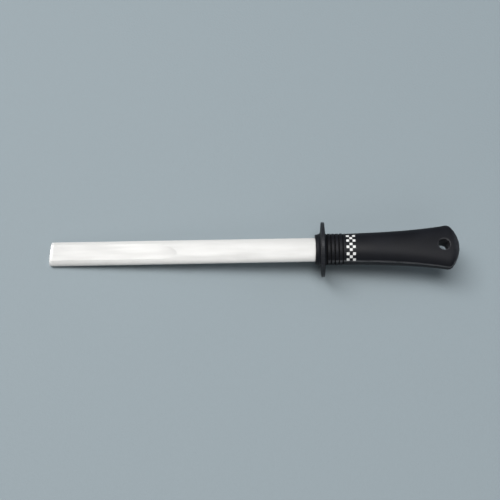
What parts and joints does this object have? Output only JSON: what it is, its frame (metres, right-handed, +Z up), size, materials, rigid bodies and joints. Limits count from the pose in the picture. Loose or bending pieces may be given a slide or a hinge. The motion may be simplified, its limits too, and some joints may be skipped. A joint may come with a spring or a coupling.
{
  "type": "knife sharpening steel",
  "caption": "Oval sharpening steel with a flat-ground square tip, a round finger guard and a flared black grip with a hanging hole.",
  "frame": {"origin": "on the table the tool lies on, under the middle of its box", "axes": "+Z up; +X towards the butt of the grip; +Y across the width. The tool lies on its tip edge and its guard rim, so its own axis climbs 4.83 degrees from +X towards the butt. It is symmetric about the plane Y = 0, apart from the slant at the ends of the ground flats."},
  "size_m": [0.3792, 0.0506, 0.0506],
  "materials": {
    "blade_steel": "satin",
    "guard_plastic": "satin",
    "grip_plastic": "satin",
    "adhesive": "matte"
  },
  "bodies": {
    "root": {"steel_rod": "blade_steel", "finger_guard": "guard_plastic", "handle_grip": "grip_plastic", "tang_adhesive": "adhesive"}
  },
  "joints": []
}
